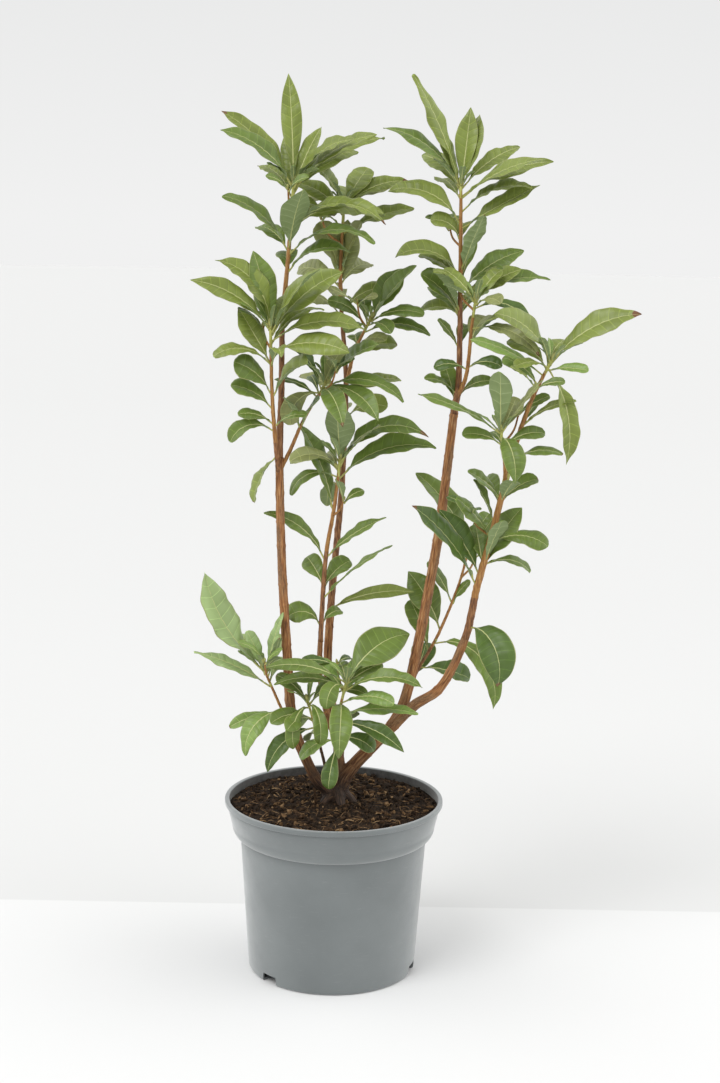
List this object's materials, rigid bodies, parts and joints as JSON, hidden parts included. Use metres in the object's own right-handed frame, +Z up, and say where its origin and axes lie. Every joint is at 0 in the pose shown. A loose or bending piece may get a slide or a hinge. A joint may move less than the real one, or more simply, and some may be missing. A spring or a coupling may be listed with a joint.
{
  "type": "potted rhododendron shrub",
  "caption": "A young, many-stemmed rhododendron with long narrow leaves in whorls, standing in a round grey plastic nursery pot filled with peat.",
  "frame": {"origin": "the middle of the pot's flat underside, on the surface that the pot stands on", "axes": "+Z up along the pot's axis, -Y towards the front that the picture shows, +X to the viewer's right"},
  "size_m": [0.4293, 0.2218, 0.8968],
  "materials": {
    "pot": "satin mid grey",
    "soil": "moist dark peat, matte",
    "bark": "brown young bark, matte",
    "leaf": "green leaves, matte"
  },
  "bodies": {
    "root": {"pot": "pot", "soil": "soil", "trunk": "bark", "left_bough": "bark", "middle_bough": "bark", "middle_front_bough": "bark", "right_bough": "bark", "far_right_bough": "bark", "left_top": "leaf", "left_side": "leaf", "left_fork": "leaf", "middle_back": "leaf", "middle_side": "leaf", "middle_front": "leaf", "right_top": "leaf", "right_side": "leaf", "far_right": "leaf", "far_right_top": "leaf", "far_right_side": "leaf", "right_inner": "leaf", "low_left": "leaf", "low_centre": "leaf", "low_front": "leaf"}
  },
  "joints": []
}
